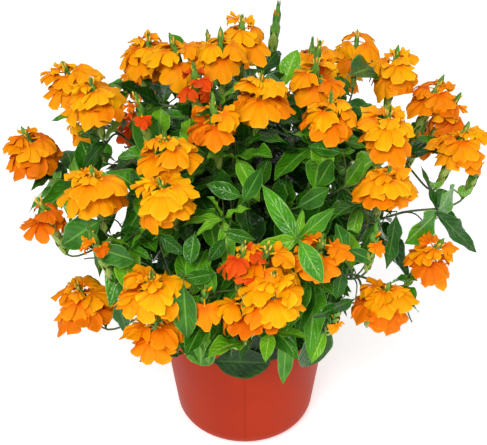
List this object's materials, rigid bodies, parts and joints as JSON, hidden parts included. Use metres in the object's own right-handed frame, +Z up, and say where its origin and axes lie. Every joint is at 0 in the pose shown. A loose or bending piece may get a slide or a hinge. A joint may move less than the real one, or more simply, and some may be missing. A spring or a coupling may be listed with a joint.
{
  "type": "potted flowering plant",
  "caption": "Bushy orange-flowered crossandra in a round tapered plastic pot, a low dome of flower heads over glossy leaves.",
  "frame": {"origin": "the middle of the pot's flat underside, where it stands on the ground", "axes": "+Z up along the pot's axis; -Y towards the front of the plant, as the picture shows it; +X to the viewer's right"},
  "size_m": [0.4048, 0.3983, 0.3719],
  "materials": {
    "pot_plastic": "smooth, semi-matte terracotta red plastic",
    "soil": "dark crumbly potting compost",
    "trunk_bark": "dull brown young bark, finely ridged",
    "green_bark": "green to brown semi-woody stem",
    "foliage": "glossy quilted leaf, dark to bright green",
    "petals": "soft matte petal, yellow-orange to deep orange",
    "bracts": "dull downy green bract"
  },
  "bodies": {
    "root": {"bough_back_high": "green_bark", "bough_back_left": "green_bark", "bough_back_low": "green_bark", "bough_back_right": "green_bark", "bough_front_low": "green_bark", "bough_front_middle": "green_bark", "bough_front_right": "green_bark", "bough_left_crest": "green_bark", "bough_left_front": "green_bark", "bough_left_low": "green_bark", "bough_left_middle": "green_bark", "bough_left_rear_low": "green_bark", "bough_left_tip": "green_bark", "bough_left_top": "green_bark", "bough_right_crest": "green_bark", "bough_right_low": "green_bark", "bough_right_middle": "green_bark", "bough_right_rear_low": "green_bark", "bough_right_tip": "green_bark", "bough_right_top": "green_bark", "bough_right_upper": "green_bark", "bough_top_back": "green_bark", "bough_top_front": "green_bark", "mass_back_high": "foliage", "mass_back_left": "foliage", "mass_back_low": "foliage", "mass_back_right": "foliage", "mass_front_low": "foliage", "mass_front_middle": "foliage", "mass_front_right": "foliage", "mass_heart_back": "foliage", "mass_heart_front": "foliage", "mass_heart_left": "foliage", "mass_heart_middle": "foliage", "mass_heart_right": "foliage", "mass_left_crest": "foliage", "mass_left_front": "foliage", "mass_left_low": "foliage", "mass_left_middle": "foliage", "mass_left_rear_low": "foliage", "mass_left_tip": "foliage", "mass_left_top": "foliage", "mass_low_left": "foliage", "mass_low_right": "foliage", "mass_right_crest": "foliage", "mass_right_low": "foliage", "mass_right_middle": "foliage", "mass_right_rear_low": "foliage", "mass_right_tip": "foliage", "mass_right_top": "foliage", "mass_right_upper": "foliage", "mass_skirt_back": "foliage", "mass_skirt_front": "foliage", "mass_skirt_left": "foliage", "mass_skirt_right": "foliage", "mass_top_back": "foliage", "mass_top_front": "foliage", "pot": "pot_plastic", "soil": "soil", "trunk": "trunk_bark"}
  },
  "joints": []
}
